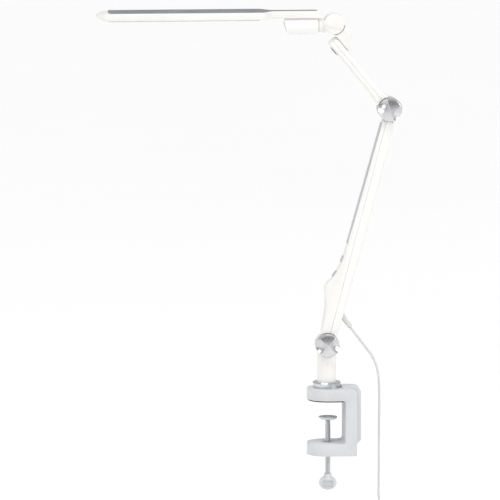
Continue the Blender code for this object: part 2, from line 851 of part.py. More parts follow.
def upper_arm():
    upper_cover("upper_cover_top", 1)
    upper_cover("upper_cover_bottom", -1)
    thick = UPPER_HALF_THICK - ARM_WALL - GAP
    boss = UPPER_HALF_THICK + SWIVEL_BOSS
    core = add(
        "upper_arm_core",
        block((-4 * MM, LAP_IN, 0), (4 * MM, 8.6 * MM, UPPER_LENGTH)),
        CAST,
        UPPER,
    )
    join(
        core,
        along_y(0, 0, LAP_RADIUS, LAP_IN, LAP_HALF, 48),
        rod((-thick, 0, UPPER_LENGTH), (thick, 0, UPPER_LENGTH), 10 * MM, sides=32),
        rod((-boss, 0, UPPER_LENGTH), (LINK_BASE - GAP, 0, UPPER_LENGTH), 8 * MM, sides=32),
    )
    cut(
        core,
        along_y(0, 0, BOLT_RADIUS + RUN, 0, LAP_HALF + MM, 24),
        along_y(0, 0, 6.2 * MM, LAP_HALF - 4.2 * MM, LAP_HALF + MM, 6),
        rod((-1, 0, UPPER_LENGTH), (1, 0, UPPER_LENGTH), 2.5 * MM + RUN, sides=24),
        rod((-1, 0, UPPER_LENGTH), (-3 * MM, 0, UPPER_LENGTH), 5.4 * MM, sides=32),
    )
    wire = rod((0, -3.5 * MM, 22 * MM), (0, -3.5 * MM, 98 * MM), 1.3 * MM, sides=8)
    add("upper_wire", wire, LEAD, UPPER)
    plug_out = (-boss - 0.7 * MM, 0, UPPER_LENGTH)
    plug = add("swivel_plug", rod(plug_out, (-6.3 * MM, 0, UPPER_LENGTH), 5.1 * MM), RUBBER, UPPER)
    round_edges(plug, 0.6 * MM, 1)


# ---------------------------------------------------------------- link

SWIVEL_AT = tuple(
    Vector(ELBOW_AT) + Matrix.Rotation(UPPER_LEAN, 3, "Y") @ Vector((0, 0, UPPER_LENGTH))
)
LINK = frame_at("link_frame", SWIVEL_AT, UPPER_LEAN)


def link_body():
    foot = LINK_BASE + 1 * MM
    outline = [
        (foot, -12.4 * MM, 0),
        (12.4 * MM, -13.2 * MM, 3 * MM),
        (20.0 * MM, -5.6 * MM, 8 * MM),
        (26.6 * MM, 6.0 * MM, 9 * MM),
        (WRIST_RISE + TONGUE_RADIUS, WRIST_REACH - 6 * MM, 5 * MM),
        (WRIST_RISE + 8.06 * MM, WRIST_REACH + 8.06 * MM, 8 * MM),
        (WRIST_RISE - 8.06 * MM, WRIST_REACH + 8.06 * MM, 8 * MM),
        (WRIST_RISE - TONGUE_RADIUS, WRIST_REACH - 1 * MM, 5 * MM),
        (foot, 12.4 * MM, 0),
    ]
    deep = LINK_HALF_DEEP
    link = add("link_body", prism(rounded(outline), -deep, deep), WHITE, LINK)
    round_edges(link, 2 * MM, 2, 60)
    for side in (-1, 1):
        low, high = sorted((side * (TONGUE_HALF), side * 30 * MM))
        cut(link, along_y(WRIST_RISE, WRIST_REACH, WRIST_RADIUS + WRIST_GAP, low, high, 48))
    cut(
        link,
        along_y(WRIST_RISE, WRIST_REACH, 2.5 * MM + RUN, -20 * MM, 20 * MM, 24),
        rod((0, 0, 0), (16 * MM, 0, 0), 2.5 * MM + GAP, sides=24),
    )
    washer = [
        (2.5 * MM + RUN, LINK_BASE + 0.7 * MM),
        (7.6 * MM, LINK_BASE + 0.7 * MM),
        (7.6 * MM, LINK_BASE),
        (2.5 * MM + RUN, LINK_BASE),
    ]
    to_x = Matrix.Rotation(radians(90), 4, "Y")
    add("swivel_washer", moved(turned(washer, 32), to_x), NYLON, LINK)
    screw = [
        (0, 15 * MM),
        (2.4 * MM, 15 * MM),
        (2.4 * MM, -3 * MM - GAP),
        (4.8 * MM, -3 * MM - GAP),
        (4.8 * MM, -6 * MM),
        (0, -6 * MM),
    ]
    swivel = add("swivel_screw", moved(turned(screw, 32), to_x), STEEL, LINK)
    cut(swivel, rod((-9 * MM, 0, 0), (-4.2 * MM, 0, 0), 2.2 * MM, sides=6))
    pin = rod(
        (WRIST_RISE, -CHEEK_OUT + GAP, WRIST_REACH),
        (WRIST_RISE, CHEEK_OUT - GAP, WRIST_REACH),
        2.5 * MM,
        sides=24,
    )
    add("wrist_pin", pin, STEEL, LINK)


# ---------------------------------------------------------------- neck and head

WRIST_AT = tuple(
    Vector(SWIVEL_AT) + Matrix.Rotation(UPPER_LEAN, 3, "Y") @ Vector((WRIST_RISE, 0, WRIST_REACH))
)
WRIST = frame_at("wrist_frame", WRIST_AT)


def neck_fork():
    neck = add(
        "neck_fork",
        rod((-NECK_LENGTH, 0, -NECK_DROP), (0, 0, -NECK_DROP), NECK_RADIUS, sides=40),
        WHITE,
        WRIST,
    )
    cheek = CHEEK_OUT
    join(neck, along_y(0, 0, WRIST_RADIUS - 0.2 * MM, -cheek, cheek, 48))
    slot = TONGUE_HALF + RUN
    cut(
        neck,
        along_y(0, 0, WRIST_RADIUS + 0.9 * MM, -slot, slot, 48),
        along_y(0, 0, 2.5 * MM + RUN, -30 * MM, 30 * MM, 24),
        rod((-NECK_LENGTH - MM, 0, -NECK_DROP), (-12 * MM, 0, -NECK_DROP), 3 * MM + RUN, sides=24),
    )
    profile = [
        (0, CAP_THICK),
        (WRIST_RADIUS - 2.4 * MM, CAP_THICK),
        (WRIST_RADIUS - 0.8 * MM, CAP_THICK - 0.7 * MM),
        (WRIST_RADIUS, CAP_THICK - 1.8 * MM),
        (WRIST_RADIUS, 0),
        (0, 0),
    ]
    for side, name in ((-1, "wrist_cap_front"), (1, "wrist_cap_back")):
        turn = Matrix.Rotation(radians(-side * 90), 4, "X")
        place = Matrix.Translation((0, side * (CHEEK_OUT + GAP), 0)) @ turn
        cap = add(name, moved(turned(profile, 48), place), WHITE, WRIST)
        low, high = sorted((side * (CHEEK_OUT + GAP + CAP_THICK - CREASE), side * 20 * MM))
        crease = block((-16 * MM, low, -0.4 * MM), (16 * MM, high, 0.4 * MM))
        tilt = Matrix.Rotation(CREASE_TILT, 4, "Y")
        cut(cap, moved(crease, Matrix.Translation((0, 0, -5.5 * MM)) @ tilt))


HEAD = frame_at("head_frame", (0, 0, -NECK_DROP), 0, WRIST)


def barrel():
    start = -NECK_LENGTH - 2 * GAP
    end = start - BARREL_LENGTH
    profile = [
        (0, BARREL_LENGTH),
        (NECK_RADIUS + 0.5 * MM, BARREL_LENGTH),
        (BARREL_RADIUS, BARREL_LENGTH - BARREL_SHOULDER),
        (BARREL_RADIUS, 0),
        (0, 0),
    ]
    to_x = Matrix.Translation((end, 0, 0)) @ Matrix.Rotation(radians(90), 4, "Y")
    body = add("barrel", moved(turned(profile, 48), to_x), WHITE, HEAD)
    slant = Matrix.Translation((end, 0, 0)) @ Matrix.Rotation(radians(-18), 4, "Y")
    head_low = HEAD_TOP - HEAD_THICK - GAP
    cut(
        body,
        moved(block((-40 * MM, -30 * MM, -40 * MM), (0.5 * MM, 30 * MM, 40 * MM)), slant),
        block((end - 10 * MM, -30 * MM, head_low), (start + 10 * MM, 30 * MM, 60 * MM)),
        rod((end - 5 * MM, 0, 0), (start - 12 * MM, 0, 0), 6.4 * MM, sides=32),
        rod((end - 5 * MM, 0, 0), (start + 5 * MM, 0, 0), 3 * MM + RUN, sides=24),
    )
    head = start - 12 * MM
    axis = -NECK_DROP
    shank = rod((head - 2 * MM, 0, axis), (-16.2 * MM, 0, axis), 3 * MM, sides=24)
    bolt = add("roll_bolt", shank, STEEL, WRIST)
    join(bolt, rod((head - 4.5 * MM, 0, axis), (head - GAP, 0, axis), 5.6 * MM, sides=6))
    plug = rod((end + 5.5 * MM, 0, 0), (end + 9 * MM, 0, 0), 6.1 * MM, sides=32)
    add("barrel_plug", plug, GREY_PLASTIC, HEAD)


def head_half_width(x):
    """Half the head's width at x behind its right end, x below zero."""
    left = -HEAD_LENGTH
    wide, narrow = HEAD_WIDTH / 2, HEAD_NECK_WIDTH / 2
    neck_end = -HEAD_NECK_LENGTH
    if x > neck_end:
        return narrow
    if x > neck_end - HEAD_TAPER:
        share = (neck_end - x) / HEAD_TAPER
        share = share * share * (3 - 2 * share)
        return narrow + (wide - narrow) * share
    if x > left + NOSE_LENGTH:
        return wide
    share = (left + NOSE_LENGTH - x) / NOSE_LENGTH
    return wide * sqrt(max(0.0, 1 - (share * 0.985) ** 2))


def panel_plan(inset, steps=8):
    """The flat part of the head's plan, moved in all round by inset."""
    xs = [-inset]
    xs += [-HEAD_NECK_LENGTH + inset / 2 - HEAD_TAPER * k / 5 for k in range(6)]
    nose = -HEAD_LENGTH + NOSE_LENGTH
    span = PANEL_NOSE - inset
    xs += [nose - span * sin(radians(90 * k / steps)) for k in range(steps + 1)]
    upper = []
    for x in xs:
        scale = NOSE_LENGTH / span if x < nose else 1
        half = head_half_width(nose + (x - nose) * scale) - inset
        upper.append((x + HEAD_RIGHT, half))
    return upper + [(x, -y) for x, y in reversed(upper)]


def head_section(x, low, high, edge):
    """One ring of the head: a flat oblong with rounded edges."""
    half = head_half_width(x)
    edge = min(edge, half * 0.6, (high - low) * 0.45)
    ring = []
    for cy, cz, start in (
        (half - edge, high - edge, 0),
        (edge - half, high - edge, 90),
        (edge - half, low + edge, 180),
        (half - edge, low + edge, 270),
    ):
        ring += arc((cy, cz), edge, start, start + 90, 3)
    return [(x + HEAD_RIGHT, y, z) for y, z in ring]


def loft(sections):
    """A closed solid through rings of equally many points, which run along -X."""
    count = len(sections[0])
    points = [p for ring in sections for p in ring]
    faces = []
    for k in range(len(sections) - 1):
        for n in range(count):
            m = (n + 1) % count
            faces.append((k * count + n, k * count + m, (k + 1) * count + m, (k + 1) * count + n))
    last = (len(sections) - 1) * count
    faces.append(tuple(reversed(range(count))))
    faces.append(tuple(range(last, last + count)))
    mesh = bpy.data.meshes.new("loft")
    mesh.from_pydata(points, [], faces)
    work = bmesh.new()
    work.from_mesh(mesh)
    bmesh.ops.recalc_face_normals(work, faces=work.faces)
    work.to_mesh(mesh)
    work.free()
    return mesh


def head_housing():
    top, low = HEAD_TOP, HEAD_TOP - HEAD_THICK
    nose = -HEAD_LENGTH + NOSE_LENGTH
    sections = []
    places = [-0.6 * MM, -HEAD_NECK_LENGTH]
    places += [-HEAD_NECK_LENGTH - HEAD_TAPER * k / 5 for k in range(1, 6)]
    places += [nose - NOSE_LENGTH * sin(radians(90 * k / 8)) for k in range(9)]
    for x in places:
        share = max(0.0, (nose - x) / NOSE_LENGTH)
        rise = max(0.0, share - NOSE_RISE_FROM) / (1 - NOSE_RISE_FROM) * NOSE_RISE
        sections.append(head_section(x, low + rise, top - share * NOSE_DROP, 1.6 * MM))
    end = head_section(0, low + 0.6 * MM, top - 0.6 * MM, 1.4 * MM)
    end = [(x, y * 0.95, z) for x, y, z in end]
    shell = add("head_housing", loft([end, *sections]), WHITE, HEAD)
    light_end = HEAD_RIGHT - HEAD_NECK_LENGTH - HEAD_TAPER - 3 * MM
    light_start = light_end - LIGHT_LENGTH
    half = HEAD_WIDTH / 2 - RIM
    cavity = block((light_start, -half, low - MM), (light_end, half, low + LIGHT_DEEP))
    cut(
        shell,
        prism(panel_plan(RIM), top - PANEL_DEEP, top + 5 * MM, "XY"),
        cavity,
    )
    panel = prism(panel_plan(RIM + GAP), top - PANEL_DEEP + GAP, top - 0.2 * MM, "XY")
    add("top_panel", panel, SLATE, HEAD)
    return light_start + GAP, light_end - GAP, half - GAP, low


def light_stack(start, end, half, low):
    """The plates in the head, from the diffuser up."""
    bezel = block((start, -half, low - BEZEL_PROUD), (end, half, low + 1.6 * MM))
    frame = add("light_bezel", bezel, GREY_PLASTIC, HEAD)
    inner = BEZEL_WIDTH
    window = block(
        (start + inner, inner - half, low - 5 * MM), (end - inner, half - inner, low + 5 * MM)
    )
    cut(frame, window)
    layers = (
        ("diffuser", OPAL, -0.3 * MM, 1.6 * MM, BEZEL_WIDTH + GAP),
        ("light_guide", CLEAR, 1.9 * MM, 4.9 * MM, 4 * MM),
        ("reflector_sheet", NYLON, 5.2 * MM, 5.7 * MM, 0.5 * MM),
        ("heat_spreader", CAST, 6 * MM, 7.1 * MM, 0.5 * MM),
    )
    for name, material, bottom, top, inset in layers:
        mesh = block(
            (start + inset, inset - half, low + bottom),
            (end - inset, half - inset, low + top),
        )
        add(name, mesh, material, HEAD)
    strip = block(
        (start + 5 * MM, half - 3.4 * MM, low + 1.9 * MM),
        (end - 5 * MM, half - 2.2 * MM, low + 4.9 * MM),
    )
    add("led_strip", strip, BOARD, HEAD)


# ---------------------------------------------------------------- mains lead


def smooth_route(points, spacing):
    """Points evenly along a smooth curve through the route."""
    fine = []
    for k in range(len(points) - 1):
        before = points[max(0, k - 1)]
        after = points[min(len(points) - 1, k + 2)]
        for step in range(12):
            t = step / 12
            fine.append(catmull(before, points[k], points[k + 1], after, t))
    fine.append(Vector(points[-1]))
    picked, travelled = [fine[0]], 0.0
    for k in range(1, len(fine)):
        travelled += (fine[k] - fine[k - 1]).length
        if travelled >= spacing:
            picked.append(fine[k])
            travelled = 0.0
    if (picked[-1] - fine[-1]).length < spacing / 2:
        picked.pop()
    return [*picked, fine[-1]]


def catmull(a, b, c, d, t):
    a, b, c, d = (Vector(p) for p in (a, b, c, d))
    bend = 2 * a - 5 * b + 4 * c - d
    twist = 3 * b - a - 3 * c + d
    return 0.5 * (2 * b + (c - a) * t + bend * t**2 + twist * t**3)


def tube(name, points, radius, material, parent):
    curve = bpy.data.curves.new(name, "CURVE")
    curve.dimensions = "3D"
    curve.bevel_depth = radius
    curve.bevel_resolution = 2
    curve.use_fill_caps = True
    spline = curve.splines.new("POLY")
    spline.points.add(len(points) - 1)
    for point, place in zip(spline.points, points):
        point.co = (*place, 1)
    made = bpy.data.objects.new(name, curve)
    curve.materials.append(material)
    made.parent = parent
    PARTS.objects.link(made)
    return made


def mains_lead():
    to_post = Vector((0, 0, BASE_Z))
    route = [Vector((x * MM, 0, z * MM)) - to_post for x, z in CORD_ROUTE]
    tube("cord_lead", smooth_route(route, 8 * MM), CORD_RADIUS, LEAD, POST)
    thick = 2 * CORD_RADIUS
    radial = COIL_ROWS * CORD_RADIUS
    across = COIL_COLUMNS * CORD_RADIUS
    foot = route[-1]
    drop = COIL_RADIUS + radial + GAP
    centre = foot + Vector((-COIL_RADIUS, 0, 0))
    centre.z = foot.z - sqrt(drop**2 - (COIL_RADIUS - CORD_RADIUS) ** 2)
    outer, inner = COIL_RADIUS + radial, COIL_RADIUS - radial
    corner = CORD_RADIUS
    profile = [
        (inner + corner, across),
        (outer - corner, across),
        (outer, across - corner),
        (outer, corner - across),
        (outer - corner, -across),
        (inner + corner, -across),
        (inner, corner - across),
        (inner, across - corner),
    ]
    add("cord_coil", moved(turned(profile, 32), facing_y(*centre)), LEAD, POST)
    tail_top = centre + Vector((0, 0, -outer - GAP))
    tail_foot = tail_top + Vector((0, 0, -TAIL_LENGTH))
    tube("cord_tail", [tail_top, (tail_top + tail_foot) / 2, tail_foot], CORD_RADIUS, LEAD, POST)
    plug_top = tail_foot.z - GAP
    x = centre.x
    body = add(
        "plug_body",
        block((x - 12 * MM, -8 * MM, plug_top - 34 * MM), (x + 12 * MM, 8 * MM, plug_top)),
        WHITE,
        POST,
    )
    round_edges(body, 3 * MM, 2)
    for number, side in enumerate((-1, 1), 1):
        px = x + side * 9.5 * MM
        pin = rod(
            (px, 0, plug_top - 34 * MM - GAP),
            (px, 0, plug_top - 34 * MM - 19 * MM),
            2 * MM,
            sides=16,
        )
        add(f"plug_pin_{number}", pin, STEEL, POST)


def build():
    clamp_body()
    jaw_pad()
    collar_ring()
    socket_bush()
    screw_nut()
    pressure_disc()
    clamp_screw()
    post_column()
    post_spigot()
    joint_bolt("base_bolt", POST)
    back_cap("base_cap", POST)
    friction_washer("base_washer", POST)
    friction_knob("base_knob", POST, BASE_KNOB_TURN)
    lower_arm()
    upper_arm()
    joint_bolt("elbow_bolt", UPPER)
    back_cap("elbow_cap", UPPER)
    friction_washer("elbow_washer", UPPER)
    elbow_front = frame_at("elbow_knob_frame", ELBOW_AT)
    friction_knob("elbow_knob", elbow_front, ELBOW_KNOB_TURN)
    link_body()
    neck_fork()
    barrel()
    light_stack(*head_housing())
    mains_lead()


build()
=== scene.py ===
"""Looks for the swing arm desk lamp: its lead, screw thread, finishes, light and camera."""
import json
from math import cos, pi, radians, sin, tau

import bmesh
import bpy
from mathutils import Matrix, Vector


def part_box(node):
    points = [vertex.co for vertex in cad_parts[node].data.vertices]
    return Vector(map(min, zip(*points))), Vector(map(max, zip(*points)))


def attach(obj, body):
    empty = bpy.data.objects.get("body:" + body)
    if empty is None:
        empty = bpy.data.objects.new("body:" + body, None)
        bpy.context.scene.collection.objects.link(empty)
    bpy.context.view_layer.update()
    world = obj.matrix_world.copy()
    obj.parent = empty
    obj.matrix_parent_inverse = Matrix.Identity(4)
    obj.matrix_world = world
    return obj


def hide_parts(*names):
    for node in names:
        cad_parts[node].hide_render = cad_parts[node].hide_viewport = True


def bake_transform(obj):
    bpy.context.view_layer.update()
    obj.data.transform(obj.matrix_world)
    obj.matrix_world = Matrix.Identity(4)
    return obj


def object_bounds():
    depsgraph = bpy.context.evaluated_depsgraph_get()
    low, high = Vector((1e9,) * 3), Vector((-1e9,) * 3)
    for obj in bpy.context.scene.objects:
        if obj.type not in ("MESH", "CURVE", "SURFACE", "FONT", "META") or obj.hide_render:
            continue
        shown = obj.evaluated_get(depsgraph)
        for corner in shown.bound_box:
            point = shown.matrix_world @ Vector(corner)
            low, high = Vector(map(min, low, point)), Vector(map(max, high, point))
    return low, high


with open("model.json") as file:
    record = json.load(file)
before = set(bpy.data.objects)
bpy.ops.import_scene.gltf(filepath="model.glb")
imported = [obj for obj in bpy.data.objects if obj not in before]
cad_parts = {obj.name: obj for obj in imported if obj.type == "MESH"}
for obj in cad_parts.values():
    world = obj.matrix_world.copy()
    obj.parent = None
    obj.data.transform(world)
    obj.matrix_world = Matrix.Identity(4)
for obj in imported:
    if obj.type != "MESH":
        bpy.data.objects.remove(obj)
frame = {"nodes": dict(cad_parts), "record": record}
CAD_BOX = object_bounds()
MM = 0.001


# ---------------------------------------------------------------- camera

CAMERA_AZIMUTH = radians(-5)
CAMERA_ELEVATION = radians(7.6)
CAMERA_DISTANCE = 10.0
CAMERA_TARGET = Vector((-0.1096, 0, 0.2163))
VIEW_WIDTH = 0.71


def camera():
    level = cos(CAMERA_ELEVATION)
    back = Vector(
        (sin(CAMERA_AZIMUTH) * level, -cos(CAMERA_AZIMUTH) * level, sin(CAMERA_ELEVATION))
    )
    data = bpy.data.cameras.new("camera")
    data.sensor_width = 36
    data.lens = data.sensor_width * CAMERA_DISTANCE / VIEW_WIDTH
    data.clip_end = 500
    made = bpy.data.objects.new("camera", data)
    made.location = CAMERA_TARGET + CAMERA_DISTANCE * back
    made.rotation_euler = (-back).to_track_quat("-Z", "Y").to_euler()
    bpy.context.scene.collection.objects.link(made)
    bpy.context.scene.camera = made


camera()


# ---------------------------------------------------------------- mains lead

CORD_RADIUS = 1.7 * MM
CORD_SIDES = 12
COIL_RADIUS = 19 * MM
COIL_ROWS = 3
COIL_COLUMNS = 4
TURN_STEPS = 28
TAIL_BEND = 14 * MM
TAIL_LEAVES_AT = radians(68)  # past the coil's right side
CORD_ROUTE = [
    (34.0, 103.6),
    (41.0, 94.0),
    (48.5, 84.4),
    (56.0, 74.6),
    (62.8, 65.2),
    (68.4, 55.0),
    (72.4, 43.0),
    (74.6, 29.0),
    (75.4, 12.0),
    (75.5, -8.0),
    (75.4, -32.0),
    (75.2, -58.0),
    (75.0, -86.0),
    (75.0, -114.0),
    (75.0, -140.0),
]


def catmull(a, b, c, d, t):
    bend = 2 * a - 5 * b + 4 * c - d
    twist = 3 * b - a - 3 * c + d
    return 0.5 * (2 * b + (c - a) * t + bend * t**2 + twist * t**3)


def smooth_route(points, steps):
    """Points along a smooth curve through the route."""
    fine = []
    for k in range(len(points) - 1):
        before = points[max(0, k - 1)]
        after = points[min(len(points) - 1, k + 2)]
        fine += [catmull(before, points[k], points[k + 1], after, s / steps) for s in range(steps)]
    return [*fine, points[-1]]


def ease(t):
    return t * t * (3 - 2 * t)


def coil_place(turn):
    """The row and column of a turn: the rows of each column are wound out and back in."""
    column, row = divmod(min(turn, COIL_ROWS * COIL_COLUMNS - 1), COIL_ROWS)
    if column % 2 == 0:
        row = COIL_ROWS - 1 - row
    return row, column


def coil_points(centre):
    """The turns, each a step beside or on the last one."""
    thick = 2 * CORD_RADIUS
    points = []
    turns = COIL_ROWS * COIL_COLUMNS
    for step in range(turns * TURN_STEPS):
        turn, part = divmod(step, TURN_STEPS)
        part /= TURN_STEPS
        row, column = coil_place(turn)
        next_row, next_column = coil_place(turn + 1)
        shift = ease(max(0.0, (part - 0.72) / 0.28))
        row += (next_row - row) * shift
        column += (next_column - column) * shift
        radius = COIL_RADIUS + (row - (COIL_ROWS - 1) / 2) * thick * 0.985
        across = (column - (COIL_COLUMNS - 1) / 2) * thick * 0.985
        angle = -tau * part
        points.append(centre + Vector((radius * cos(angle), across, radius * sin(angle))))
    return points


def tail_points(centre, end):
    """From the last turn's right side round under the coil and down to the plug."""
    thick = 2 * CORD_RADIUS
    outer = COIL_RADIUS + thick * 0.985
    across = (COIL_COLUMNS - 1) / 2 * thick * 0.985
    points = []
    for k in range(9):
        angle = -TAIL_LEAVES_AT * k / 8
        points.append(centre + Vector((outer * cos(angle), across, outer * sin(angle))))
    last = points[-1].copy()
    for k in range(1, 7):
        turn = TAIL_LEAVES_AT * k / 6
        heading = TAIL_LEAVES_AT - turn
        x = TAIL_BEND * (cos(heading) - cos(TAIL_LEAVES_AT))
        z = TAIL_BEND * (sin(TAIL_LEAVES_AT) - sin(heading))
        share = ease(k / 6)
        points.append(Vector((last.x - x, across * (1 - share), last.z - z)))
    if (points[-1] - end).length > 1 * MM:
        points.append(Vector((end.x, 0, end.z)))
    return points


def tube_mesh(name, points, radius, sides):
    """A tube's mesh along the points, from a curve with a round bevel."""
    curve = bpy.data.curves.new(name, "CURVE")
    curve.dimensions = "3D"
    curve.bevel_depth = radius
    curve.bevel_resolution = sides // 4
    curve.use_fill_caps = True
    spline = curve.splines.new("POLY")
    spline.points.add(len(points) - 1)
    for point, place in zip(spline.points, points):
        point.co = (*place, 1)
    holder = bpy.data.objects.new(name, curve)
    bpy.context.scene.collection.objects.link(holder)
    graph = bpy.context.evaluated_depsgraph_get()
    mesh = bpy.data.meshes.new_from_object(holder.evaluated_get(graph))
    bpy.data.objects.remove(holder)
    bpy.data.curves.remove(curve)
    mesh.name = name
    mesh.shade_smooth()
    return mesh


def piece(name, mesh):
    made = bpy.data.objects.new(name, mesh)
    bpy.context.scene.collection.objects.link(made)
    return made


def mains_lead():
    route = [Vector((x * MM, 0, z * MM)) for x, z in CORD_ROUTE]
    coil_low, coil_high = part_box("cord_coil")
    centre = (coil_low + coil_high) / 2
    tail_low, tail_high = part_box("cord_tail")
    tail_end = Vector((centre.x, 0, tail_low.z))
    coil = coil_points(centre)
    points = smooth_route([*route, coil[0], coil[1]], 4)[:-4]
    points += coil + tail_points(centre, tail_end)
    lead = piece("mains_lead", tube_mesh("mains_lead", points, CORD_RADIUS, CORD_SIDES))
    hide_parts("cord_lead", "cord_coil", "cord_tail")
    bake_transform(lead)
    return lead


LEAD = mains_lead()


# ---------------------------------------------------------------- clamp screw

THREAD_PITCH = 2 * MM
THREAD_DEPTH = 0.55 * MM


def clamp_screw():
    """The screw's plain rod with a rolled thread on it."""
    low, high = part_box("clamp_screw")
    middle = (low + high) / 2
    radius = (high.x - low.x) / 2
    core = radius - THREAD_DEPTH
    plain = 3 * MM
    work = bmesh.new()
    profile = [(0, low.z), (core * 0.8, low.z), (core, low.z + 0.6 * MM)]
    profile += [(core, high.z - 1.4 * MM), (core * 0.8, high.z), (0, high.z)]
    rings = [work.verts.new((middle.x + r, 0, z)) for r, z in profile]
    edges = [work.edges.new(pair) for pair in zip(rings, rings[1:])]
    bmesh.ops.spin(
        work,
        geom=rings + edges,
        cent=(middle.x, 0, 0),
        axis=(0, 0, 1),
        angle=tau,
        steps=32,
        use_merge=True,
    )
    bmesh.ops.remove_doubles(work, verts=work.verts, dist=1e-6)
    steps = 24
    turns = int((high.z - low.z - 2 * plain) / THREAD_PITCH)
    half = THREAD_PITCH * 0.44
    previous = None
    for k in range(turns * steps + 1):
        angle = tau * k / steps
        z = low.z + plain + THREAD_PITCH * k / steps
        ends = min(1.0, k / steps, (turns * steps - k) / steps)
        crest = core + THREAD_DEPTH * ends
        inside = core - 0.15 * MM
        ring = []
        for r, dz in ((inside, -half), (crest, -half * 0.2), (crest, half * 0.2), (inside, half)):
            ring.append(work.verts.new((middle.x + r * cos(angle), r * sin(angle), z + dz)))
        if previous:
            for n in range(4):
                m = (n + 1) % 4
                work.faces.new((previous[n], ring[n], ring[m], previous[m]))
        else:
            work.faces.new(ring[::-1])
        previous = ring
    work.faces.new(previous)
    bmesh.ops.recalc_face_normals(work, faces=work.faces)
    mesh = bpy.data.meshes.new("threaded_screw")
    work.to_mesh(mesh)
    work.free()
    mesh.shade_smooth()
    mesh.set_sharp_from_angle(angle=radians(40))
    screw = piece("threaded_screw", mesh)
    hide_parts("clamp_screw")
    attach(screw, "clamp_screw")
    return screw


SCREW = clamp_screw()


# ---------------------------------------------------------------- shared shader groups


class Nodes:
    """Adds and joins nodes in one tree."""

    def __init__(self, tree):
        self.tree = tree

    def add(self, kind, **settings):
        made = self.tree.nodes.new(kind)
        for key, value in settings.items():
            setattr(made, key, value)
        return made

    def join(self, output, target):
        self.tree.links.new(output, target)

    def put(self, node, **values):
        for key, value in values.items():
            name = key.replace("_", " ").title()
            if isinstance(value, bpy.types.NodeSocket):
                self.join(value, node.inputs[name])
            else:
                node.inputs[name].default_value = value
        return node

    def math(self, operation, first, second):
        node = self.add("ShaderNodeMath", operation=operation)
        for slot, value in zip(node.inputs, (first, second)):
            if isinstance(value, bpy.types.NodeSocket):
                self.join(value, slot)
            else:
                slot.default_value = value
        return node.outputs[0]

    def remap(self, value, low, high, to_low=0.0, to_high=1.0):
        node = self.add("ShaderNodeMapRange", interpolation_type="SMOOTHSTEP")
        self.put(node, value=value, from_min=low, from_max=high, to_min=to_low, to_max=to_high)
        return node.outputs["Result"]


def new_group(name, inputs, outputs):
    """A shader group with named number inputs and outputs."""
    tree = bpy.data.node_groups.new(name, "ShaderNodeTree")
    for label, value in inputs.items():
        socket = tree.interface.new_socket(label, in_out="INPUT", socket_type="NodeSocketFloat")
        socket.default_value = value
    for label in outputs:
        tree.interface.new_socket(label, in_out="OUTPUT", socket_type="NodeSocketFloat")
    nodes = Nodes(tree)
    return nodes, nodes.add("NodeGroupInput"), nodes.add("NodeGroupOutput")


def noise(nodes, vector, scale, detail=3.0, rough=0.55):
    node = nodes.add("ShaderNodeTexNoise")
    nodes.join(vector, node.inputs["Vector"])
    return nodes.put(node, scale=scale, detail=detail, roughness=rough).outputs["Fac"]


def fine_grain_group():
    """The texture of a sprayed or moulded surface, and slow clouds under it."""
    nodes, given, out = new_group(
        "fine_grain", {"Grain Scale": 900.0, "Cloud Scale": 14.0}, ("Grain", "Cloud")
    )
    place = nodes.add("ShaderNodeTexCoord").outputs["Object"]
    grain = noise(nodes, place, given.outputs["Grain Scale"], 2.0, 0.6)
    cloud = noise(nodes, place, given.outputs["Cloud Scale"], 4.0, 0.6)
    nodes.join(nodes.remap(grain, 0.3, 0.7), out.inputs["Grain"])
    nodes.join(nodes.remap(cloud, 0.32, 0.68), out.inputs["Cloud"])
    return nodes.tree


def edge_highlight_corner_shade_group():
    """A mask of edges for a painted highlight, broken up by noise, and one of hollow corners for painted
    shade.
    """
    nodes, given, out = new_group("edge_highlight_corner_shade", {"Scale": 160.0, "Reach": 0.05}, ("Edge", "Corner"))
    place = nodes.add("ShaderNodeTexCoord").outputs["Object"]
    bend = nodes.add("ShaderNodeNewGeometry").outputs["Pointiness"]
    rough = noise(nodes, place, given.outputs["Scale"], 3.0, 0.65)
    uneven = nodes.math("MULTIPLY", nodes.math("SUBTRACT", rough, 0.5), given.outputs["Reach"])
    bend = nodes.math("ADD", bend, uneven)
    # Edge marks convex edges for a painted highlight; Corner marks hollows for painted shade.
    nodes.join(nodes.remap(bend, 0.52, 0.60), out.inputs["Edge"])
    nodes.join(nodes.remap(bend, 0.48, 0.42), out.inputs["Corner"])
    return nodes.tree


def scratches_group():
    """Hairlines drawn out along one axis of the part."""
    nodes, given, out = new_group(
        "hairlines", {"Along X": 6.0, "Along Y": 900.0, "Along Z": 900.0}, ("Lines", "Patches")
    )
    place = nodes.add("ShaderNodeTexCoord").outputs["Object"]
    axes = nodes.add("ShaderNodeSeparateXYZ")
    nodes.join(place, axes.inputs[0])
    drawn = nodes.add("ShaderNodeCombineXYZ")
    for axis in "XYZ":
        value = nodes.math("MULTIPLY", axes.outputs[axis], given.outputs[f"Along {axis}"])
        nodes.join(value, drawn.inputs[axis])
    lines = noise(nodes, drawn.outputs[0], 1.0, 4.0, 0.7)
    patches = noise(nodes, place, 30.0, 3.0, 0.5)
    nodes.join(nodes.remap(lines, 0.3, 0.7), out.inputs["Lines"])
    nodes.join(nodes.remap(patches, 0.35, 0.65), out.inputs["Patches"])
    return nodes.tree


FINE_GRAIN = fine_grain_group()
EDGE_HIGHLIGHT_CORNER_SHADE = edge_highlight_corner_shade_group()
HAIRLINES = scratches_group()


# ---------------------------------------------------------------- finishes


def new_material(name, **values):
    """A Principled material with plain values set on its own sockets."""
    made = bpy.data.materials.new(name)
    made.use_nodes = True
    nodes = Nodes(made.node_tree)
    shader = made.node_tree.nodes["Principled BSDF"]
    for label, value in values.items():
        shader.inputs[label.replace("_", " ").title().replace("Ior", "IOR")].default_value = value
    return made, nodes, shader


def use_group(nodes, tree, **values):
    node = nodes.add("ShaderNodeGroup", node_tree=tree)
    return nodes.put(node, **values)


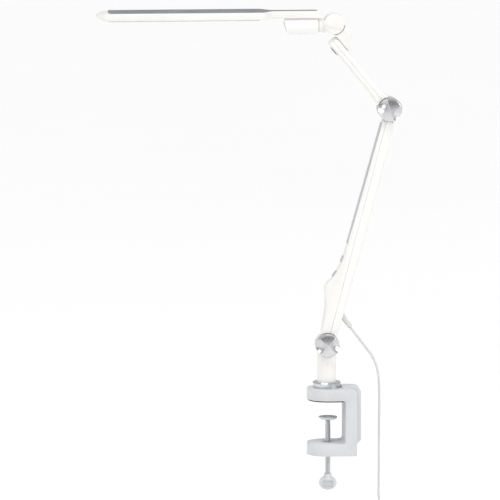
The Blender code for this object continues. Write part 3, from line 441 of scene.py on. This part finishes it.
def blend_colour(nodes, mask, low, high):
    mix = nodes.add("ShaderNodeMix", data_type="RGBA")
    nodes.join(mask, mix.inputs["Factor"])
    for key, value in (("A", low), ("B", high)):
        slot = next(s for s in mix.inputs if s.name == key and s.type == "RGBA")
        if isinstance(value, bpy.types.NodeSocket):
            nodes.join(value, slot)
        else:
            slot.default_value = (*value, 1)
    return next(s for s in mix.outputs if s.type == "RGBA")


def bumped(nodes, shader, height, depth, strength=1.0):
    bump = nodes.add("ShaderNodeBump")
    bump.inputs["Distance"].default_value = depth
    bump.inputs["Strength"].default_value = strength
    nodes.join(height, bump.inputs["Height"])
    nodes.join(bump.outputs[0], shader.inputs["Normal"])


def lacquer(name, colour, shade, edge_highlight, gloss, grain_scale, grain_depth):
    """Paint or moulded plastic: fine grain, slow clouds, a painted highlight on the edges and painted shade
    in the corners.
    """
    made, nodes, shader = new_material(name)
    grain = use_group(nodes, FINE_GRAIN, grain_scale=grain_scale, cloud_scale=17.0)
    edge_light_and_shade = use_group(nodes, EDGE_HIGHLIGHT_CORNER_SHADE, scale=220.0, reach=0.04)
    tint = blend_colour(nodes, grain.outputs["Cloud"], colour, shade)
    # Convex edges are lightened towards the edge colour: a painted highlight.
    tint = blend_colour(nodes, nodes.math("MULTIPLY", edge_light_and_shade.outputs["Edge"], 0.5), tint, edge_highlight)
    # Hollows and corners are darkened: painted shade.
    painted_corner_shade = tuple(c * 0.82 for c in shade)
    tint = blend_colour(nodes, nodes.math("MULTIPLY", edge_light_and_shade.outputs["Corner"], 0.35), tint, painted_corner_shade)
    nodes.join(tint, shader.inputs["Base Color"])
    uneven = nodes.math("MULTIPLY", grain.outputs["Cloud"], 0.09)
    uneven = nodes.math("ADD", uneven, nodes.math("MULTIPLY", grain.outputs["Grain"], 0.05))
    nodes.join(nodes.math("ADD", uneven, gloss), shader.inputs["Roughness"])
    bumped(nodes, shader, grain.outputs["Grain"], grain_depth, 0.5)
    return made


def brushed(name, colour, shade, gloss, along, depth=0.00002, metallic=1.0):
    """Metal with hairlines drawn out along one axis, and a painted highlight on its edges."""
    made, nodes, shader = new_material(name, metallic=metallic)
    lines = use_group(nodes, HAIRLINES, along_x=along[0], along_y=along[1], along_z=along[2])
    edge_light_and_shade = use_group(nodes, EDGE_HIGHLIGHT_CORNER_SHADE, scale=300.0, reach=0.03)
    tint = blend_colour(nodes, lines.outputs["Lines"], colour, shade)
    # Convex edges are lightened: a painted highlight on the metal.
    painted_edge_glint = tuple(min(1.0, c * 1.18) for c in colour)
    tint = blend_colour(nodes, nodes.math("MULTIPLY", edge_light_and_shade.outputs["Edge"], 0.6), tint, painted_edge_glint)
    nodes.join(tint, shader.inputs["Base Color"])
    uneven = nodes.math("MULTIPLY", lines.outputs["Lines"], 0.1)
    uneven = nodes.math("ADD", uneven, nodes.math("MULTIPLY", lines.outputs["Patches"], 0.08))
    nodes.join(nodes.math("ADD", uneven, gloss), shader.inputs["Roughness"])
    bumped(nodes, shader, lines.outputs["Lines"], depth, 0.4)
    return made


def polished_chrome():
    made, nodes, shader = new_material("polished_chrome", metallic=1.0)
    grain = use_group(nodes, FINE_GRAIN, grain_scale=500.0, cloud_scale=55.0)
    tint = blend_colour(nodes, grain.outputs["Cloud"], (0.66, 0.67, 0.70), (0.58, 0.59, 0.62))
    nodes.join(tint, shader.inputs["Base Color"])
    smears = nodes.math("MULTIPLY", grain.outputs["Cloud"], 0.06)
    nodes.join(nodes.math("ADD", smears, 0.05), shader.inputs["Roughness"])
    bumped(nodes, shader, grain.outputs["Grain"], 0.000004, 0.2)
    return made


def opal_plastic():
    made, nodes, shader = new_material("opal_plastic", transmission_weight=0.15, ior=1.49)
    grain = use_group(nodes, FINE_GRAIN, grain_scale=1400.0, cloud_scale=9.0)
    tint = blend_colour(nodes, grain.outputs["Cloud"], (0.86, 0.86, 0.84), (0.8, 0.8, 0.785))
    nodes.join(tint, shader.inputs["Base Color"])
    nodes.join(nodes.remap(grain.outputs["Grain"], 0, 1, 0.32, 0.46), shader.inputs["Roughness"])
    bumped(nodes, shader, grain.outputs["Grain"], 0.00002, 0.4)
    return made


def light_guide_plastic():
    """Clear sheet with a field of printed dots that let the light out."""
    made, nodes, shader = new_material("light_guide", transmission_weight=0.8, ior=1.49)
    place = nodes.add("ShaderNodeTexCoord").outputs["Object"]
    dots = nodes.add("ShaderNodeTexVoronoi")
    nodes.join(place, dots.inputs["Vector"])
    nodes.put(dots, scale=700.0, randomness=0.15)
    mask = nodes.remap(dots.outputs["Distance"], 0.3, 0.22)
    nodes.join(blend_colour(nodes, mask, (0.9, 0.95, 0.96), (0.97, 0.97, 0.95)), shader.inputs["Base Color"])
    nodes.join(nodes.remap(mask, 0, 1, 0.08, 0.5), shader.inputs["Roughness"])
    bumped(nodes, shader, mask, 0.00002, 0.4)
    return made


def board_laminate():
    """White solder mask over copper tracks."""
    made, nodes, shader = new_material("board_laminate")
    place = nodes.add("ShaderNodeTexCoord").outputs["Object"]
    tracks = nodes.add("ShaderNodeTexBrick", offset=0.35)
    nodes.join(place, tracks.inputs["Vector"])
    nodes.put(tracks, scale=180.0, mortar_size=0.09)
    grain = use_group(nodes, FINE_GRAIN, grain_scale=1500.0, cloud_scale=40.0)
    mask = nodes.math("SUBTRACT", 1.0, tracks.outputs["Fac"])
    tint = blend_colour(nodes, mask, (0.55, 0.6, 0.5), (0.8, 0.81, 0.78))
    nodes.join(tint, shader.inputs["Base Color"])
    nodes.join(nodes.remap(grain.outputs["Grain"], 0, 1, 0.35, 0.5), shader.inputs["Roughness"])
    bumped(nodes, shader, tracks.outputs["Fac"], 0.00004, 0.5)
    return made


def circular_satin():
    """Plated knobs, brushed in circles round the joint's axis, with a painted highlight on their edges."""
    made, nodes, shader = new_material("satin_plating", metallic=1.0)
    lines = use_group(nodes, HAIRLINES, along_x=420.0, along_y=40.0, along_z=420.0)
    grain = use_group(nodes, FINE_GRAIN, grain_scale=1200.0, cloud_scale=40.0)
    edge_light_and_shade = use_group(nodes, EDGE_HIGHLIGHT_CORNER_SHADE, scale=260.0, reach=0.03)
    tint = blend_colour(nodes, grain.outputs["Cloud"], (0.63, 0.63, 0.64), (0.56, 0.56, 0.575))
    # Convex edges blend to pale grey: a painted highlight.
    tint = blend_colour(
        nodes, nodes.math("MULTIPLY", edge_light_and_shade.outputs["Edge"], 0.7), tint, (0.85, 0.85, 0.86)
    )
    nodes.join(tint, shader.inputs["Base Color"])
    uneven = nodes.math("MULTIPLY", lines.outputs["Lines"], 0.06)
    uneven = nodes.math("ADD", uneven, nodes.math("MULTIPLY", grain.outputs["Cloud"], 0.05))
    nodes.join(nodes.math("ADD", uneven, 0.2), shader.inputs["Roughness"])
    bumped(nodes, shader, grain.outputs["Grain"], 0.00001, 0.3)
    return made


def finishes():
    """The record's material slots and the finish that each gets."""
    return {
        "white_lacquer": lacquer(
            "white_lacquer", (0.80, 0.79, 0.765), (0.76, 0.752, 0.73), (0.86, 0.855, 0.84),
            0.40, 1100.0, 0.00003,
        ),
        "grey_lacquer": lacquer(
            "pale_grey_lacquer", (0.60, 0.61, 0.625), (0.565, 0.575, 0.59), (0.72, 0.725, 0.735),
            0.42, 800.0, 0.00005,
        ),
        "chrome": polished_chrome(),
        "satin_chrome": circular_satin(),
        "zinc_steel": brushed("zinc_plate", (0.60, 0.61, 0.62), (0.5, 0.51, 0.53), 0.26, (300, 300, 12)),
        "brass": brushed("turned_brass", (0.74, 0.57, 0.27), (0.6, 0.45, 0.2), 0.28, (500, 30, 500)),
        "black_rubber": lacquer(
            "black_rubber", (0.03, 0.03, 0.032), (0.022, 0.022, 0.024), (0.07, 0.07, 0.07),
            0.72, 600.0, 0.00012,
        ),
        "nylon": lacquer(
            "natural_nylon", (0.74, 0.73, 0.68), (0.68, 0.67, 0.62), (0.8, 0.79, 0.75),
            0.45, 700.0, 0.00003,
        ),
        "cast_aluminium": lacquer(
            "cast_aluminium", (0.48, 0.48, 0.49), (0.42, 0.42, 0.43), (0.65, 0.65, 0.66),
            0.4, 500.0, 0.0001,
        ),
        "slate_aluminium": brushed(
            "slate_anodised", (0.21, 0.235, 0.275), (0.175, 0.2, 0.24), 0.24, (9, 1500, 1500), 0.00001, 0.85
        ),
        "opal_acrylic": opal_plastic(),
        "clear_acrylic": light_guide_plastic(),
        "circuit_board": board_laminate(),
        "grey_plastic": lacquer(
            "slate_plastic", (0.40, 0.425, 0.46), (0.37, 0.395, 0.43), (0.52, 0.54, 0.57),
            0.36, 1300.0, 0.00003,
        ),
        "grey_lead": lacquer(
            "pale_lead", (0.62, 0.62, 0.61), (0.57, 0.57, 0.56), (0.68, 0.68, 0.67),
            0.46, 1000.0, 0.00004,
        ),
    }


def soften(node):
    """Smooth shading over a CAD part's facets, with its creases kept."""
    normals = node.data.attributes.get("custom_normal")
    if normals:
        node.data.attributes.remove(normals)
    node.data.shade_smooth()
    weld = node.modifiers.new("weld", "WELD")
    weld.merge_threshold = 2e-6
    creases = node.modifiers.new("creases", "EDGE_SPLIT")
    creases.split_angle = radians(33)


def dress():
    made = finishes()
    for part in frame["record"]["subparts"]:
        node = frame["nodes"][part["node"]]
        soften(node)
        node.data.materials.clear()
        node.data.materials.append(made[part["material_slot"]])
    LEAD.data.materials.append(made["grey_lead"])
    SCREW.data.materials.append(made["zinc_steel"])


dress()


# ---------------------------------------------------------------- floor and light

FLOOR_DROP = 2 * MM
FLOOR_HALF = 120.0


def floor():
    mesh = bpy.data.meshes.new("floor")
    work = bmesh.new()
    bmesh.ops.create_grid(work, x_segments=1, y_segments=1, size=FLOOR_HALF)
    work.to_mesh(mesh)
    work.free()
    made = piece("floor", mesh)
    made.location.z = CAD_BOX[0].z - FLOOR_DROP
    material, nodes, shader = new_material("pale_floor", roughness=0.9, specular_ior_level=0.1)
    grain = use_group(nodes, FINE_GRAIN, grain_scale=30.0, cloud_scale=0.6)
    tint = blend_colour(nodes, grain.outputs["Cloud"], (0.93, 0.93, 0.93), (0.92, 0.92, 0.92))
    nodes.join(tint, shader.inputs["Base Color"])
    mesh.materials.append(material)


def sky():
    """Even studio light with a darker wall in front of the lamp for metal to mirror."""
    world = bpy.data.worlds.new("studio")
    bpy.context.scene.world = world
    world.use_nodes = True
    nodes = Nodes(world.node_tree)
    backdrop = world.node_tree.nodes["Background"]
    backdrop.inputs["Strength"].default_value = 0.62
    place = nodes.add("ShaderNodeTexCoord").outputs["Generated"]
    axes = nodes.add("ShaderNodeSeparateXYZ")
    nodes.join(place, axes.inputs[0])
    front = nodes.remap(axes.outputs["Y"], -0.55, -0.95)
    low = nodes.remap(axes.outputs["Z"], 0.42, 0.12)
    dark = nodes.math("MULTIPLY", front, low)
    colour = blend_colour(nodes, dark, (1.0, 1.0, 1.0), (0.28, 0.285, 0.3))
    nodes.join(colour, backdrop.inputs["Color"])


def area_light(name, place, size, power):
    data = bpy.data.lights.new(name, "AREA")
    data.shape = "DISK"
    data.size = size
    data.energy = power
    made = bpy.data.objects.new(name, data)
    made.location = place
    toward = CAMERA_TARGET - Vector(place)
    made.rotation_euler = toward.to_track_quat("-Z", "Y").to_euler()
    bpy.context.scene.collection.objects.link(made)


def sun_light():
    data = bpy.data.lights.new("overhead", "SUN")
    data.energy = 1.5
    data.angle = radians(50)
    made = bpy.data.objects.new("overhead", data)
    toward = Vector((0.25, 0.35, -1.0))
    made.rotation_euler = toward.to_track_quat("-Z", "Y").to_euler()
    bpy.context.scene.collection.objects.link(made)


def lights():
    sky()
    sun_light()
    area_light("right_fill", (2.2, -1.6, 1.1), 1.6, 26)
    area_light("left_fill", (-2.4, -1.8, 1.6), 1.2, 16)


floor()
lights()


# ---------------------------------------------------------------- view transform


bpy.context.scene.view_settings.view_transform = "Standard"
